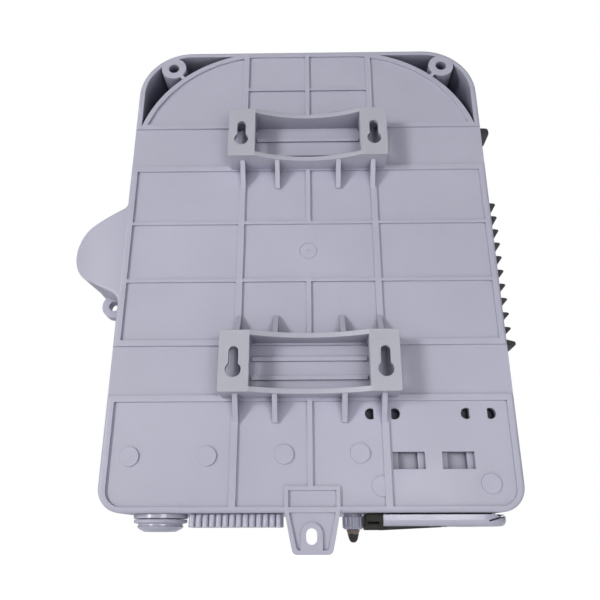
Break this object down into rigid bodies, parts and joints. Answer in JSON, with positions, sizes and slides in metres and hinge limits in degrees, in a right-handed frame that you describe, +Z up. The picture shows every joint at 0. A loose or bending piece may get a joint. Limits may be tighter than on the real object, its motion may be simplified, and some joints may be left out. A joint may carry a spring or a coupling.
{
  "type": "fibre termination box",
  "caption": "Outdoor fibre termination box with a ribbed back, two pole and wall brackets, a hinged lockable cover, cable glands, a side strip of drop-cable ports and a tilting splice tray.",
  "frame": {"origin": "on the wall plane, in the middle of the four keyholes", "axes": "+X to the right seen from the front, +Y towards the wall, +Z up"},
  "size_m": [0.2807, 0.101, 0.338],
  "materials": {
    "shell_plastic": "fine moulded texture, satin",
    "rib_rubber": "matt dark grey",
    "black_rubber": "matt black",
    "brown_rubber": "smooth dark brown",
    "gasket_rubber": "soft matt",
    "steel": "zinc plated",
    "brass": "turned",
    "module_white": "matt white ABS",
    "tray_plastic": "smooth pale grey",
    "clear_plastic": "clear polycarbonate",
    "adapter_plastic": "blue moulded plastic",
    "cap_plastic": "translucent white polyethylene",
    "boot_rubber": "soft white",
    "sleeve_clear": "shrunk clear tube"
  },
  "bodies": {
    "box": {"back_shell": "shell_plastic", "cover_gasket": "gasket_rubber", "hinge_pins": "steel", "latch_keeper": "steel", "keeper_screw": "steel", "drop_cable_seal": "rib_rubber", "drop_cable_comb": "tray_plastic", "bottom_port_strip": "shell_plastic", "gland_body": "shell_plastic", "gland_seal": "black_rubber", "gland_locknut": "shell_plastic", "earth_gland_body": "shell_plastic", "earth_gland_plug": "brown_rubber", "express_seal": "black_rubber", "express_clamp": "shell_plastic", "express_screws": "steel", "express_retainer": "steel", "feeder_clamp": "steel", "drop_clamp": "tray_plastic", "clamp_screws": "steel", "splitter_module": "module_white", "splitter_boots": "boot_rubber", "splitter_screws": "steel", "tray_brackets": "steel", "tray_pins": "steel", "adapter_panel": "steel", "panel_screws": "steel", "sc_adapters": "adapter_plastic", "dust_caps": "cap_plastic", "fibre_guides": "tray_plastic", "earth_stud": "brass", "earth_nut": "brass"},
    "cover": {"front_cover": "shell_plastic", "lock_body": "steel", "lock_nut": "steel"},
    "lock": {"lock_barrel": "steel", "lock_cam": "steel", "cam_screw": "steel"},
    "tray": {"splice_tray": "tray_plastic", "tray_cover": "clear_plastic", "splice_holder": "tray_plastic", "splice_sleeves": "sleeve_clear"},
    "feeder_gland_ring": {"gland_nut": "shell_plastic"},
    "earth_gland_ring": {"earth_gland_nut": "shell_plastic"}
  },
  "joints": [
    {"name": "cover_hinge", "type": "hinge", "parent": "box", "child": "cover", "pos_m": [-0.125, -0.057, 0], "axis": [0, 0, -1], "range_deg": [0, 120]},
    {"name": "lock_turn", "type": "hinge", "parent": "cover", "child": "lock", "pos_m": [0.1312, -0.065, 0.0059], "axis": [0, 1, 0], "range_deg": [0, 90]},
    {"name": "tray_tilt", "type": "hinge", "parent": "box", "child": "tray", "pos_m": [0, -0.03, -0.0153], "axis": [1, 0, 0], "range_deg": [0, 90]},
    {"name": "feeder_gland_turn", "type": "hinge", "parent": "box", "child": "feeder_gland_ring", "pos_m": [0.086, -0.037, -0.1573], "axis": [0, 0, 1], "continuous": true},
    {"name": "earth_gland_turn", "type": "hinge", "parent": "box", "child": "earth_gland_ring", "pos_m": [-0.0242, -0.037, -0.1573], "axis": [0, 0, 1], "continuous": true}
  ]
}
